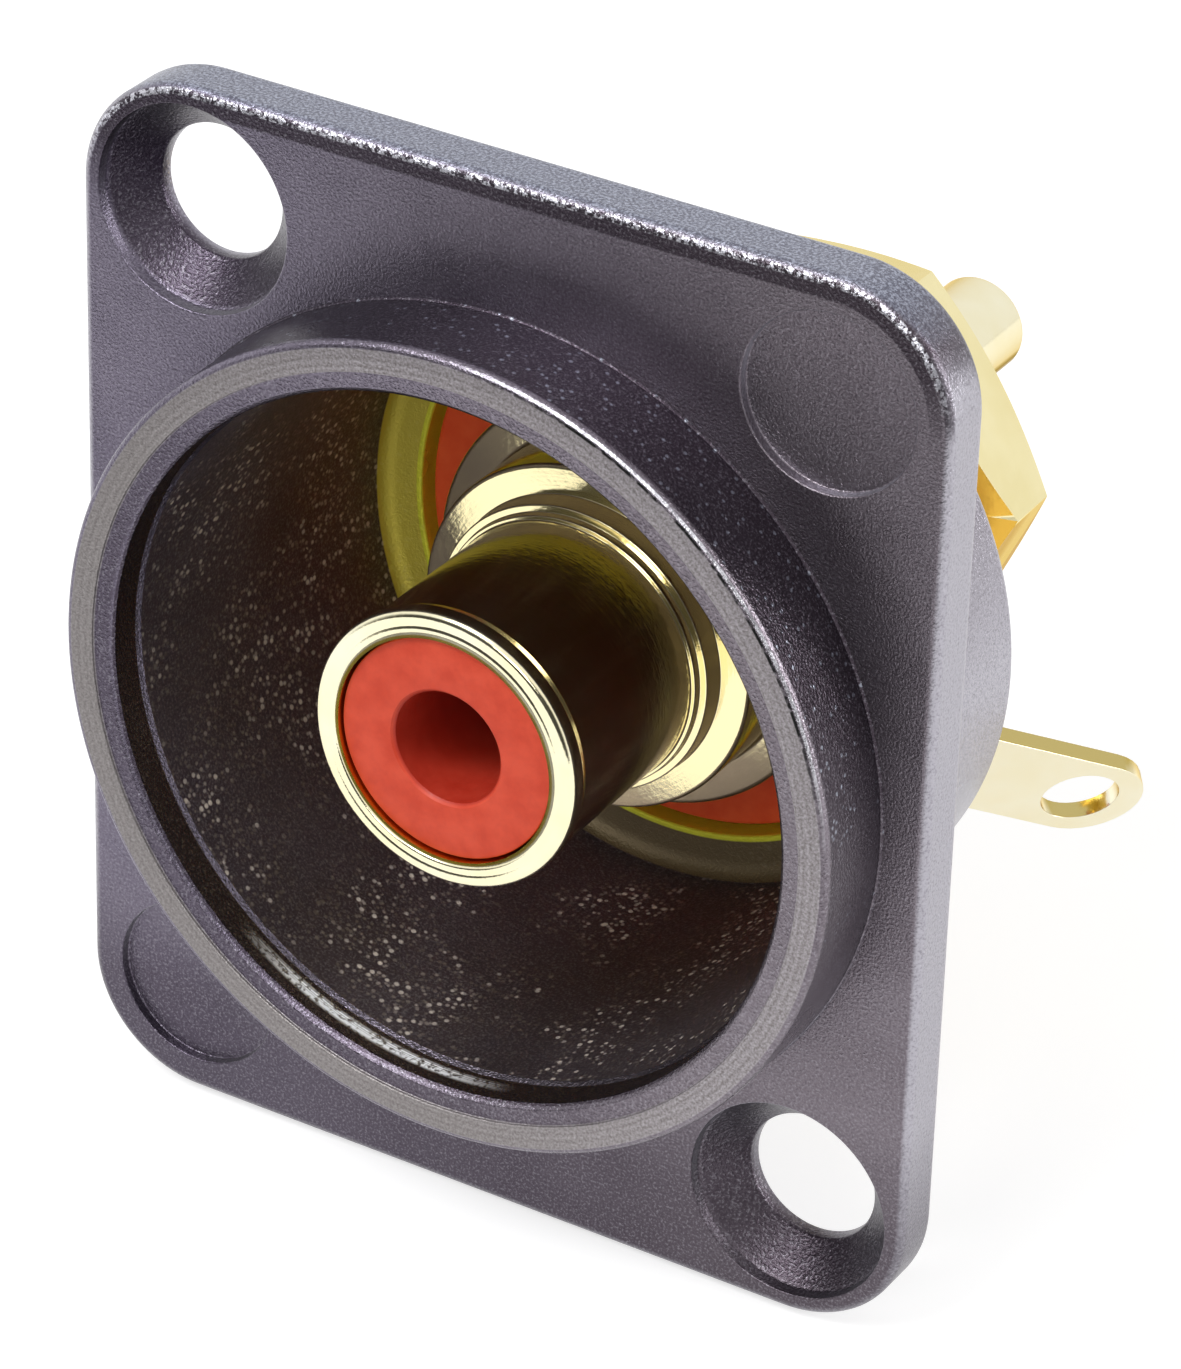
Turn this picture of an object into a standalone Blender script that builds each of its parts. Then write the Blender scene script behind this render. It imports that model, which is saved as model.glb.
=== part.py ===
"""Panel-mount phono socket, modelled at its real size.

A black die-cast housing (flange, collar and cup in one piece) carries a gold-plated turned jack. The jack is
insulated from the housing by two red washers, and a nut clamps it from behind, over a bent solder lug. A red
core inside the jack holds the centre contact.

Metres, +Z up. The socket faces -Y, with +X to its right. The origin is on the socket's axis, in the plane of
the flange's rear face. A depth is a distance behind that plane, so whatever stands in front of it has a
negative depth.
"""

import math

import bmesh
import bpy
from mathutils import Vector

MM = 0.001

# Clearances
SEAT_GAP = 0.05 * MM  # between two pieces that seat on each other
BORE_GAP = 0.15 * MM  # around the barrel, in the pieces that slide over it
RECESS_GAP = 0.20 * MM  # around the front washer, in its recess
SHOULDER_GAP = 0.10 * MM  # around the rear washer's shoulder, in the floor's bore
CHAMBER_GAP = 0.30 * MM  # around the contact's fingers, so that they can spread

# Jack sleeve, from its front lip to the end of its barrel
TUBE_RADIUS = 3.88 * MM
TUBE_WALL = 0.63 * MM
LIP_SETBACK = 0.42 * MM  # from the rim of the housing back to the lip
LIP_STEP = 0.12 * MM
LIP_LENGTH = 0.50 * MM
LIP_EDGE_RADIUS = 0.40 * MM
LIP_BEVEL = 0.28 * MM
TURNED_EDGE = 0.12 * MM
LAND_STEP = 0.12 * MM
LAND_LENGTH = 0.25 * MM
RIDGE_STEP = 0.34 * MM
RIDGE_LENGTH = 0.70 * MM
HUB_STEP = 1.20 * MM
HUB_LENGTH = 2.35 * MM
CLAMP_WIDTH = 1.35 * MM  # how far the clamping flange stands out from the barrel
CLAMP_THICKNESS = 2.75 * MM
BARREL_RADIUS = 4.75 * MM
BARREL_LENGTH = 9.80 * MM
BARREL_EDGE = 0.35 * MM
REAR_BORE_STEP = 0.45 * MM
REAR_BORE_LENGTH = 7.5 * MM
ROLLED_RIM_LENGTH = 0.45 * MM
ROLLED_RIM_INSET = 0.30 * MM

# Insulating washers
FRONT_WASHER_BORDER = 2.0 * MM  # red border that shows around the clamping flange
FRONT_WASHER_THICKNESS = 0.65 * MM
REAR_WASHER_BORDER = 1.3 * MM
REAR_WASHER_THICKNESS = 0.75 * MM
REAR_WASHER_SHOULDER = 0.45 * MM  # wall of the short tube that lines the floor's bore
WASHER_EDGE = 0.12 * MM

# Housing, from its rim to the back of its body
COLLAR_HEIGHT = 2.85 * MM
COLLAR_WALL = 1.45 * MM
COLLAR_EDGE_RADIUS = 0.25 * MM
RIM_LAND = 0.85 * MM
RIM_STEP = 0.10 * MM
MOUTH_CHAMFER = 0.15 * MM
MOUTH_BAND_LENGTH = 1.15 * MM
MOUTH_BAND_STEP = 0.08 * MM
CUP_DRAFT = 0.62 * MM
FLOOR_DEPTH = 7.65 * MM
FLOOR_LEDGE = 1.25 * MM
FLOOR_FILLET = 0.50 * MM
FLOOR_THICKNESS = 0.8 * MM  # under the front washer
WASHER_RECESS_DEPTH = 1.0 * MM
BODY_WALL = 0.95 * MM
BODY_DRAFT = 0.25 * MM
BODY_CHAMFER_RADIAL = 1.8 * MM
BODY_CHAMFER_AXIAL = 2.0 * MM

# Flange. Its margin around a screw hole or pad is also its corner radius.
FLANGE_SIDE_BORDER = 1.3 * MM  # from the collar to the left and right edges
FLANGE_END_BORDER = 3.8 * MM  # from the collar to the top and bottom edges
FLANGE_MARGIN = 3.5 * MM
FLANGE_THICKNESS = 1.85 * MM
FLANGE_EDGE_RADIUS = 0.35 * MM
FLANGE_REAR_EDGE_RADIUS = 0.45 * MM
SCREW_HOLE_RADIUS = 1.9 * MM
COUNTERSINK_MARGIN = 0.55 * MM  # from the countersink's rim to the flange's edge
COUNTERSINK_WALL = 0.35 * MM  # straight wall between the countersink's rim and its cone
PAD_RADIUS = 2.5 * MM
PAD_DEPTH = 0.12 * MM

# Core insulator
CORE_SETBACK = 0.15 * MM  # from the lip back to the core's face
CORE_WALL = 0.90 * MM  # around the chamber of the contact's fingers
PIN_HOLE_GAP = 0.07 * MM  # how much wider the pin hole is than the fingers' bore
PIN_HOLE_LENGTH = 3.9 * MM
PIN_HOLE_CHAMFER = 0.10 * MM

# Centre contact, from its slotted fingers to its solder cup
FINGER_WALL = 0.45 * MM
FINGER_LENGTH = 6.3 * MM
FINGER_LEAD = 0.15 * MM
SLOT_WIDTH = 0.4 * MM
SLOT_LENGTH = 5.2 * MM
PIN_BORE_LENGTH = 11.1 * MM
CONTACT_BODY_STEP = 0.15 * MM
CONTACT_COLLAR_STEP = 0.45 * MM
CONTACT_COLLAR_LENGTH = 1.0 * MM
CONTACT_COLLAR_SETBACK = 1.5 * MM  # core behind the contact's collar
STUB_RADIUS = 1.48 * MM
STUB_LENGTH = 7.9 * MM
STUB_EDGE = 0.12 * MM
SOLDER_CUP_WALL = 0.43 * MM
SOLDER_CUP_LENGTH = 4.2 * MM
SOLDER_CUP_NOTCH_DEPTH = 0.75 * MM
SOLDER_CUP_NOTCH_LENGTH = 3.4 * MM
SOLDER_CUP_ANGLE = math.radians(230)  # the side that is cut away, from +X towards +Z

# Solder lug
LUG_THICKNESS = 0.5 * MM
LUG_RING_WIDTH = 1.7 * MM
LUG_NECK = 1.55 * MM  # from the ring to the start of the bend
LUG_BEND_RADIUS = 0.8 * MM  # on the inside of the bend
LUG_BEND_ANGLE = math.radians(48)
LUG_TAB_ANGLE = math.radians(-38)  # direction of the tab, from +X towards +Z
LUG_TAB_WIDTH = 3.3 * MM
LUG_TAB_REACH = 5.48 * MM  # from the start of the bend to the wire hole, along the sheet
LUG_HOLE_RADIUS = 1.12 * MM
LUG_END_MARGIN = 1.86 * MM  # from the centre of the wire hole to the end of the tab

# Hex nut
NUT_WALL = 1.4 * MM  # from the barrel to the middle of a flat
NUT_THICKNESS = 2.75 * MM
NUT_CHAMFER_ANGLE = math.radians(28)
NUT_TURN = math.radians(4.5)  # direction of one corner, from +X towards +Z
NUT_COLLAR_STEP = 0.25 * MM
NUT_COLLAR_LENGTH = 2.8 * MM

# Facets of a full turn, of a flange corner, of a small edge, of the flange's rear edge and of the lug's bend
LARGE_TURN = 72
MEDIUM_TURN = 48
SMALL_TURN = 32
CORNER_FACETS = 6
EDGE_FACETS = 3
REAR_EDGE_FACETS = 2
BEND_FACETS = 6
OVERSHOOT = 0.5 * MM  # how far a cutter runs past the face that it opens
WELD = 0.001 * MM

# Radii that follow from the sizes above
LIP_RADIUS = TUBE_RADIUS + LIP_STEP
LAND_RADIUS = TUBE_RADIUS + LAND_STEP
RIDGE_RADIUS = TUBE_RADIUS + RIDGE_STEP
HUB_RADIUS = TUBE_RADIUS + HUB_STEP
SLEEVE_BORE = TUBE_RADIUS - TUBE_WALL
SLEEVE_REAR_BORE = SLEEVE_BORE + REAR_BORE_STEP
ROLLED_RIM_BORE = SLEEVE_REAR_BORE - ROLLED_RIM_INSET
CLAMP_RADIUS = BARREL_RADIUS + CLAMP_WIDTH
BARREL_HOLE = BARREL_RADIUS + BORE_GAP
FRONT_WASHER_RADIUS = CLAMP_RADIUS + FRONT_WASHER_BORDER
REAR_WASHER_RADIUS = CLAMP_RADIUS + REAR_WASHER_BORDER
SHOULDER_RADIUS = BARREL_HOLE + REAR_WASHER_SHOULDER
FLOOR_BORE = SHOULDER_RADIUS + SHOULDER_GAP
WASHER_RECESS_RADIUS = FRONT_WASHER_RADIUS + RECESS_GAP
FLOOR_RADIUS = WASHER_RECESS_RADIUS + FLOOR_LEDGE
CUP_RADIUS = FLOOR_RADIUS + CUP_DRAFT
MOUTH_RADIUS = CUP_RADIUS + MOUTH_BAND_STEP
COLLAR_RADIUS = MOUTH_RADIUS + COLLAR_WALL
BODY_REAR_RADIUS = FLOOR_RADIUS + BODY_WALL
BODY_FRONT_RADIUS = BODY_REAR_RADIUS + BODY_DRAFT
FLANGE_HALF_WIDTH = COLLAR_RADIUS + FLANGE_SIDE_BORDER
FLANGE_HALF_HEIGHT = COLLAR_RADIUS + FLANGE_END_BORDER
HOLE_X = FLANGE_HALF_WIDTH - FLANGE_MARGIN
HOLE_Z = FLANGE_HALF_HEIGHT - FLANGE_MARGIN
COUNTERSINK_RADIUS = FLANGE_MARGIN - COUNTERSINK_MARGIN
CORE_RADIUS = SLEEVE_BORE - SEAT_GAP
CORE_REAR_RADIUS = SLEEVE_REAR_BORE - SEAT_GAP
CHAMBER_RADIUS = CORE_RADIUS - CORE_WALL
FINGER_RADIUS = CHAMBER_RADIUS - CHAMBER_GAP
FINGER_BORE = FINGER_RADIUS - FINGER_WALL
PIN_HOLE_RADIUS = FINGER_BORE + PIN_HOLE_GAP
CONTACT_BODY_RADIUS = FINGER_RADIUS + CONTACT_BODY_STEP
CONTACT_COLLAR_RADIUS = CONTACT_BODY_RADIUS + CONTACT_COLLAR_STEP
SOLDER_CUP_BORE = STUB_RADIUS - SOLDER_CUP_WALL
LUG_RING_RADIUS = BARREL_HOLE + LUG_RING_WIDTH
LUG_BEND_START = LUG_RING_RADIUS + LUG_NECK
NUT_APOTHEM = BARREL_RADIUS + NUT_WALL
NUT_CORNER_RADIUS = NUT_APOTHEM / math.cos(math.pi / 6)
NUT_COLLAR_RADIUS = NUT_APOTHEM - NUT_COLLAR_STEP

# Depths that follow from the sizes above
FLANGE_FRONT = -FLANGE_THICKNESS
RIM_FRONT = FLANGE_FRONT - COLLAR_HEIGHT
MOUTH_FRONT = RIM_FRONT + RIM_STEP
MOUTH_BAND_REAR = MOUTH_FRONT + MOUTH_BAND_LENGTH
RECESS_DEPTH = FLOOR_DEPTH + WASHER_RECESS_DEPTH
BODY_REAR = RECESS_DEPTH + FLOOR_THICKNESS
FRONT_WASHER_REAR = RECESS_DEPTH - SEAT_GAP
FRONT_WASHER_FRONT = FRONT_WASHER_REAR - FRONT_WASHER_THICKNESS
CLAMP_REAR = FRONT_WASHER_FRONT - SEAT_GAP
CLAMP_FRONT = CLAMP_REAR - CLAMP_THICKNESS
HUB_FRONT = CLAMP_FRONT - HUB_LENGTH
RIDGE_FRONT = HUB_FRONT - RIDGE_LENGTH
LAND_FRONT = RIDGE_FRONT - LAND_LENGTH
LIP_FRONT = RIM_FRONT + LIP_SETBACK
LIP_REAR = LIP_FRONT + LIP_LENGTH
BARREL_REAR = CLAMP_REAR + BARREL_LENGTH
ROLLED_RIM_FRONT = BARREL_REAR - ROLLED_RIM_LENGTH
SLEEVE_SHOULDER = BARREL_REAR - REAR_BORE_LENGTH
REAR_WASHER_FRONT = BODY_REAR + SEAT_GAP
REAR_WASHER_REAR = REAR_WASHER_FRONT + REAR_WASHER_THICKNESS
LUG_FRONT = REAR_WASHER_REAR + SEAT_GAP
LUG_REAR = LUG_FRONT + LUG_THICKNESS
NUT_FRONT = LUG_REAR + SEAT_GAP
NUT_HEX_FRONT = NUT_FRONT + NUT_COLLAR_LENGTH
NUT_REAR = NUT_HEX_FRONT + NUT_THICKNESS
CORE_FRONT = LIP_FRONT + CORE_SETBACK
CORE_SHOULDER = SLEEVE_SHOULDER + SEAT_GAP
CORE_REAR = ROLLED_RIM_FRONT - SEAT_GAP
CHAMBER_FRONT = CORE_FRONT + PIN_HOLE_LENGTH
CONTACT_FRONT = CHAMBER_FRONT + SEAT_GAP
FINGER_REAR = CONTACT_FRONT + FINGER_LENGTH
SLOT_REAR = CONTACT_FRONT + SLOT_LENGTH
PIN_BORE_REAR = CONTACT_FRONT + PIN_BORE_LENGTH
CONTACT_COLLAR_REAR = CORE_REAR - CONTACT_COLLAR_SETBACK
CONTACT_COLLAR_FRONT = CONTACT_COLLAR_REAR - CONTACT_COLLAR_LENGTH
STUB_REAR = CORE_REAR + STUB_LENGTH


def clear_scene():
    for item in list(bpy.data.objects):
        bpy.data.objects.remove(item, do_unlink=True)


def new_collection(name):
    collection = bpy.data.collections.new(name)
    bpy.context.scene.collection.children.link(collection)
    return collection


def new_material(name, colour, roughness, metallic):
    material = bpy.data.materials.new(name)
    material.use_nodes = True
    shader = material.node_tree.nodes["Principled BSDF"]
    shader.inputs["Base Color"].default_value = (*colour, 1.0)
    shader.inputs["Roughness"].default_value = roughness
    shader.inputs["Metallic"].default_value = metallic
    return material


def gold(name):
    return new_material(name, (0.90, 0.65, 0.24), 0.18, 1.0)


def red_plastic(name):
    return new_material(name, (0.55, 0.02, 0.02), 0.35, 0.0)


def face_front(item, location=(0.0, 0.0, 0.0), turn=0.0):
    """Lay a shape built along local +Z so that its top faces -Y, and turn it from +X towards +Z."""
    item.rotation_euler = (math.pi / 2, -turn, 0.0)
    item.location = location
    return item


def turned(name, profile, facets, x=0.0, z=0.0, turn=0.0):
    """A shape turned about the line through (x, z), parallel to the socket's axis.

    The profile is a list of (radius, depth) that runs from front to rear along its outer side. One that
    starts and ends on the axis makes a solid, and any other is closed into a ring.
    """
    edges = [(i, i + 1) for i in range(len(profile) - 1)]
    if profile[0][0] > 0.0:
        edges.append((len(profile) - 1, 0))
    mesh = bpy.data.meshes.new(name)
    mesh.from_pydata([(radius, 0.0, -depth) for radius, depth in profile], edges, [])
    item = face_front(bpy.data.objects.new(name, mesh), (x, 0.0, z), turn)
    screw = item.modifiers.new("turn", "SCREW")
    screw.axis = "Z"
    screw.steps = facets
    screw.render_steps = facets
    screw.use_merge_vertices = True
    screw.merge_threshold = WELD
    return item


def box(name, low, high, turn=0.0):
    """A block between two corners, given as (x, depth, z) before it is turned about the socket's axis."""
    size = Vector(high) - Vector(low)
    centre = Vector(low) + size / 2
    bm = bmesh.new()
    bmesh.ops.create_cube(bm, size=1.0)
    bmesh.ops.scale(bm, vec=size, verts=bm.verts)
    bmesh.ops.translate(bm, vec=centre, verts=bm.verts)
    mesh = bpy.data.meshes.new(name)
    bm.to_mesh(mesh)
    bm.free()
    item = bpy.data.objects.new(name, mesh)
    item.rotation_euler = (0.0, -turn, 0.0)
    return item


def arc(centre, radius, start, end, facets):
    """Points on an arc. On a turned profile 0 degrees points outwards and 90 degrees points to the rear."""
    angles = [math.radians(start + (end - start) * i / facets) for i in range(facets + 1)]
    return [(centre[0] + radius * math.cos(a), centre[1] + radius * math.sin(a)) for a in angles]


def add_cutter(item):
    cutters.objects.link(item)
    item.hide_render = True
    item.display_type = "WIRE"
    return item


def combine(piece, operation, other, solver="EXACT"):
    boolean = piece.modifiers.new(other.name, "BOOLEAN")
    boolean.operation = operation
    boolean.solver = solver
    boolean.object = add_cutter(other)


def evaluated_mesh(item):
    bpy.context.view_layer.update()
    return bpy.data.meshes.new_from_object(item.evaluated_get(bpy.context.evaluated_depsgraph_get()))


def add_part(item, material):
    """Settle the piece's modifiers into its mesh, and shade it smooth between its sharp edges."""
    parts.objects.link(item)
    item.data = evaluated_mesh(item)
    item.modifiers.clear()
    item.data.shade_smooth()
    item.data.set_sharp_from_angle(angle=math.radians(35))
    item.data.materials.clear()
    item.data.materials.append(material)


def bevel(bm, edges, radius, facets):
    bmesh.ops.bevel(
        bm,
        geom=edges,
        offset=radius,
        segments=facets,
        profile=0.5,
        affect="EDGES",
    )


def flange_plate():
    """The flange's block, with its four corners rounded and then its front and rear edges."""
    corner = (FLANGE_HALF_WIDTH, 0.0, FLANGE_HALF_HEIGHT)
    plate = box("housing", (-FLANGE_HALF_WIDTH, FLANGE_FRONT, -FLANGE_HALF_HEIGHT), corner)
    bm = bmesh.new()
    bm.from_mesh(plate.data)
    middle = FLANGE_FRONT / 2
    corners = [e for e in bm.edges if (e.verts[0].co.y - middle) * (e.verts[1].co.y - middle) < 0.0]
    bevel(bm, corners, FLANGE_MARGIN, CORNER_FACETS)
    front = [e for e in bm.edges if max(v.co.y for v in e.verts) < middle]
    bevel(bm, front, FLANGE_EDGE_RADIUS, EDGE_FACETS)
    rear = [e for e in bm.edges if min(v.co.y for v in e.verts) > -WELD]
    bevel(bm, rear, FLANGE_REAR_EDGE_RADIUS, REAR_EDGE_FACETS)
    bm.to_mesh(plate.data)
    bm.free()
    return plate


def housing_cup():
    """The collar, the cup and the round body, turned as one thick-walled ring."""
    edge = (COLLAR_RADIUS - COLLAR_EDGE_RADIUS, RIM_FRONT + COLLAR_EDGE_RADIUS)
    fillet = (FLOOR_RADIUS - FLOOR_FILLET, FLOOR_DEPTH - FLOOR_FILLET)
    return turned(
        "collar_and_cup",
        [
            (COLLAR_RADIUS - RIM_LAND, RIM_FRONT),
            *arc(edge, COLLAR_EDGE_RADIUS, -90, 0, EDGE_FACETS),
            (COLLAR_RADIUS, FLANGE_FRONT / 2),
            (BODY_FRONT_RADIUS, FLANGE_FRONT / 2),
            (BODY_REAR_RADIUS, BODY_REAR - BODY_CHAMFER_AXIAL),
            (BODY_REAR_RADIUS - BODY_CHAMFER_RADIAL, BODY_REAR),
            (FLOOR_BORE, BODY_REAR),
            (FLOOR_BORE, RECESS_DEPTH),
            (WASHER_RECESS_RADIUS, RECESS_DEPTH),
            (WASHER_RECESS_RADIUS, FLOOR_DEPTH),
            *arc(fillet, FLOOR_FILLET, 90, 0, EDGE_FACETS),
            (CUP_RADIUS, MOUTH_BAND_REAR),
            (MOUTH_RADIUS, MOUTH_BAND_REAR),
            (MOUTH_RADIUS, MOUTH_FRONT + MOUTH_CHAMFER),
            (MOUTH_RADIUS + MOUTH_CHAMFER, MOUTH_FRONT),
            (COLLAR_RADIUS - RIM_LAND, MOUTH_FRONT),
        ],
        LARGE_TURN,
    )


def flange_opening():
    """The hole in the flange that the cup fills, half way between the cup's inner and outer faces."""
    radius = (CUP_RADIUS + BODY_FRONT_RADIUS) / 2
    return turned(
        "flange_opening",
        [
            (0.0, FLANGE_FRONT - OVERSHOOT),
            (radius, FLANGE_FRONT - OVERSHOOT),
            (radius, OVERSHOOT),
            (0.0, OVERSHOOT),
        ],
        LARGE_TURN,
    )


def screw_hole(x, z):
    """A through hole with a right-angled countersink, which starts below a short straight wall."""
    cone = FLANGE_FRONT + COUNTERSINK_WALL
    return turned(
        "screw_hole",
        [
            (0.0, FLANGE_FRONT - OVERSHOOT),
            (COUNTERSINK_RADIUS, FLANGE_FRONT - OVERSHOOT),
            (COUNTERSINK_RADIUS, cone),
            (SCREW_HOLE_RADIUS, cone + COUNTERSINK_RADIUS - SCREW_HOLE_RADIUS),
            (SCREW_HOLE_RADIUS, OVERSHOOT),
            (0.0, OVERSHOOT),
        ],
        SMALL_TURN,
        x,
        z,
    )


def corner_pad(x, z):
    """A shallow round recess, in a corner that has no screw hole."""
    return turned(
        "corner_pad",
        [
            (0.0, FLANGE_FRONT - OVERSHOOT),
            (PAD_RADIUS, FLANGE_FRONT - OVERSHOOT),
            (PAD_RADIUS, FLANGE_FRONT + PAD_DEPTH),
            (0.0, FLANGE_FRONT + PAD_DEPTH),
        ],
        SMALL_TURN,
        x,
        z,
    )


def housing():
    """The whole casting. At some sizes the exact solver drops a facet of the cup, so this uses the other."""
    piece = flange_plate()
    combine(piece, "DIFFERENCE", flange_opening(), "MANIFOLD")
    combine(piece, "UNION", housing_cup(), "MANIFOLD")
    for side in (-1, 1):
        combine(piece, "DIFFERENCE", screw_hole(side * HOLE_X, -side * HOLE_Z), "MANIFOLD")
        combine(piece, "DIFFERENCE", corner_pad(side * HOLE_X, side * HOLE_Z), "MANIFOLD")
    return piece


def jack_sleeve():
    lip_edge = (LIP_RADIUS - LIP_EDGE_RADIUS, LIP_FRONT + LIP_EDGE_RADIUS)
    return turned(
        "jack_sleeve",
        [
            (SLEEVE_BORE, LIP_FRONT),
            *arc(lip_edge, LIP_EDGE_RADIUS, -90, 0, EDGE_FACETS),
            (LIP_RADIUS, LIP_REAR),
            (TUBE_RADIUS, LIP_REAR + LIP_BEVEL),
            (TUBE_RADIUS, LAND_FRONT),
            (LAND_RADIUS, LAND_FRONT),
            (LAND_RADIUS, RIDGE_FRONT),
            (RIDGE_RADIUS, RIDGE_FRONT),
            (RIDGE_RADIUS, HUB_FRONT),
            (HUB_RADIUS - TURNED_EDGE, HUB_FRONT),
            (HUB_RADIUS, HUB_FRONT + TURNED_EDGE),
            (HUB_RADIUS, CLAMP_FRONT),
            (CLAMP_RADIUS - TURNED_EDGE, CLAMP_FRONT),
            (CLAMP_RADIUS, CLAMP_FRONT + TURNED_EDGE),
            (CLAMP_RADIUS, CLAMP_REAR),
            (BARREL_RADIUS, CLAMP_REAR),
            (BARREL_RADIUS, BARREL_REAR - BARREL_EDGE),
            (BARREL_RADIUS - BARREL_EDGE, BARREL_REAR),
            (ROLLED_RIM_BORE, BARREL_REAR),
            (ROLLED_RIM_BORE, ROLLED_RIM_FRONT),
            (SLEEVE_REAR_BORE, ROLLED_RIM_FRONT),
            (SLEEVE_REAR_BORE, SLEEVE_SHOULDER),
            (SLEEVE_BORE, SLEEVE_SHOULDER),
        ],
        MEDIUM_TURN,
    )


def core_insulator():
    """The red core: pin hole, chamber around the fingers, and a grip on the contact's body and collar."""
    grip = CONTACT_BODY_RADIUS + SEAT_GAP
    collar_grip = CONTACT_COLLAR_RADIUS + SEAT_GAP
    return turned(
        "core_insulator",
        [
            (PIN_HOLE_RADIUS + PIN_HOLE_CHAMFER, CORE_FRONT),
            (CORE_RADIUS, CORE_FRONT),
            (CORE_RADIUS, CORE_SHOULDER),
            (CORE_REAR_RADIUS, CORE_SHOULDER),
            (CORE_REAR_RADIUS, CORE_REAR),
            (grip, CORE_REAR),
            (grip, CONTACT_COLLAR_REAR + SEAT_GAP),
            (collar_grip, CONTACT_COLLAR_REAR + SEAT_GAP),
            (collar_grip, CONTACT_COLLAR_FRONT - SEAT_GAP),
            (grip, CONTACT_COLLAR_FRONT - SEAT_GAP),
            (grip, FINGER_REAR - SEAT_GAP),
            (CHAMBER_RADIUS, FINGER_REAR - SEAT_GAP),
            (CHAMBER_RADIUS, CHAMBER_FRONT),
            (PIN_HOLE_RADIUS, CHAMBER_FRONT),
            (PIN_HOLE_RADIUS, CORE_FRONT + PIN_HOLE_CHAMFER),
        ],
        SMALL_TURN,
    )


def front_insulating_washer():
    return turned(
        "front_insulating_washer",
        [
            (BARREL_HOLE, FRONT_WASHER_FRONT),
            (FRONT_WASHER_RADIUS - WASHER_EDGE, FRONT_WASHER_FRONT),
            (FRONT_WASHER_RADIUS, FRONT_WASHER_FRONT + WASHER_EDGE),
            (FRONT_WASHER_RADIUS, FRONT_WASHER_REAR),
            (BARREL_HOLE, FRONT_WASHER_REAR),
        ],
        LARGE_TURN,
    )


def rear_insulating_washer():
    """The washer behind the housing, with a short tube that lines the bore in the floor."""
    return turned(
        "rear_insulating_washer",
        [
            (BARREL_HOLE, RECESS_DEPTH),
            (SHOULDER_RADIUS, RECESS_DEPTH),
            (SHOULDER_RADIUS, REAR_WASHER_FRONT),
            (REAR_WASHER_RADIUS - WASHER_EDGE, REAR_WASHER_FRONT),
            (REAR_WASHER_RADIUS, REAR_WASHER_FRONT + WASHER_EDGE),
            (REAR_WASHER_RADIUS, REAR_WASHER_REAR - WASHER_EDGE),
            (REAR_WASHER_RADIUS - WASHER_EDGE, REAR_WASHER_REAR),
            (BARREL_HOLE, REAR_WASHER_REAR),
        ],
        MEDIUM_TURN,
    )


def lug_blank():
    """The flat blank of the lug, as a mesh: a ring with a round-ended tab along +X and a hole in each."""
    half_width = LUG_TAB_WIDTH / 2
    hole = LUG_BEND_START + LUG_TAB_REACH
    end = hole + LUG_END_MARGIN - half_width
    tab = math.degrees(math.asin(half_width / LUG_RING_RADIUS))
    outlines = [
        arc((0.0, 0.0), LUG_RING_RADIUS, tab, 360 - tab, MEDIUM_TURN)
        + arc((end, 0.0), half_width, -90, 90, SMALL_TURN // 2),
        arc((0.0, 0.0), BARREL_HOLE, 0, 360, MEDIUM_TURN)[:-1],
        arc((hole, 0.0), LUG_HOLE_RADIUS, 0, 360, SMALL_TURN)[:-1],
    ]
    curve = bpy.data.curves.new("lug_blank", "CURVE")
    curve.dimensions = "2D"
    curve.fill_mode = "BOTH"
    curve.extrude = LUG_THICKNESS / 2
    for outline in outlines:
        spline = curve.splines.new("POLY")
        spline.points.add(len(outline) - 1)
        for point, (x, y) in zip(spline.points, outline):
            point.co = (x, y, 0.0, 1.0)
        spline.use_cyclic_u = True
    item = bpy.data.objects.new("lug_blank", curve)
    parts.objects.link(item)
    mesh = evaluated_mesh(item)
    bpy.data.objects.remove(item, do_unlink=True)
    return mesh


def bend_tab(co):
    """Where a point of the blank goes when the tab is bent to the rear.

    The bend's centre is behind the sheet. Each layer of the sheet keeps its distance from that centre, and
    the middle layer keeps its length.
    """
    middle = LUG_BEND_RADIUS + LUG_THICKNESS / 2
    along = co.x - LUG_BEND_START
    angle = min(max(along / middle, 0.0), LUG_BEND_ANGLE)
    straight = along - angle * middle
    radius = middle + co.z
    return Vector(
        (
            LUG_BEND_START + radius * math.sin(angle) + straight * math.cos(angle),
            co.y,
            radius * math.cos(angle) - middle - straight * math.sin(angle),
        )
    )


def solder_lug():
    bm = bmesh.new()
    bm.from_mesh(lug_blank())
    bmesh.ops.remove_doubles(bm, verts=bm.verts, dist=WELD)
    bmesh.ops.dissolve_limit(bm, angle_limit=math.radians(1), verts=bm.verts, edges=bm.edges)
    bend_length = LUG_BEND_ANGLE * (LUG_BEND_RADIUS + LUG_THICKNESS / 2)
    for i in range(BEND_FACETS + 1):
        bmesh.ops.bisect_plane(
            bm,
            geom=bm.verts[:] + bm.edges[:] + bm.faces[:],
            dist=WELD,
            plane_co=(LUG_BEND_START + bend_length * i / BEND_FACETS, 0.0, 0.0),
            plane_no=(1.0, 0.0, 0.0),
        )
    for vert in bm.verts:
        vert.co = bend_tab(vert.co)
    bmesh.ops.recalc_face_normals(bm, faces=bm.faces)
    mesh = bpy.data.meshes.new("solder_lug")
    bm.to_mesh(mesh)
    bm.free()
    item = bpy.data.objects.new("solder_lug", mesh)
    return face_front(item, (0.0, LUG_FRONT + LUG_THICKNESS / 2, 0.0), LUG_TAB_ANGLE)


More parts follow.
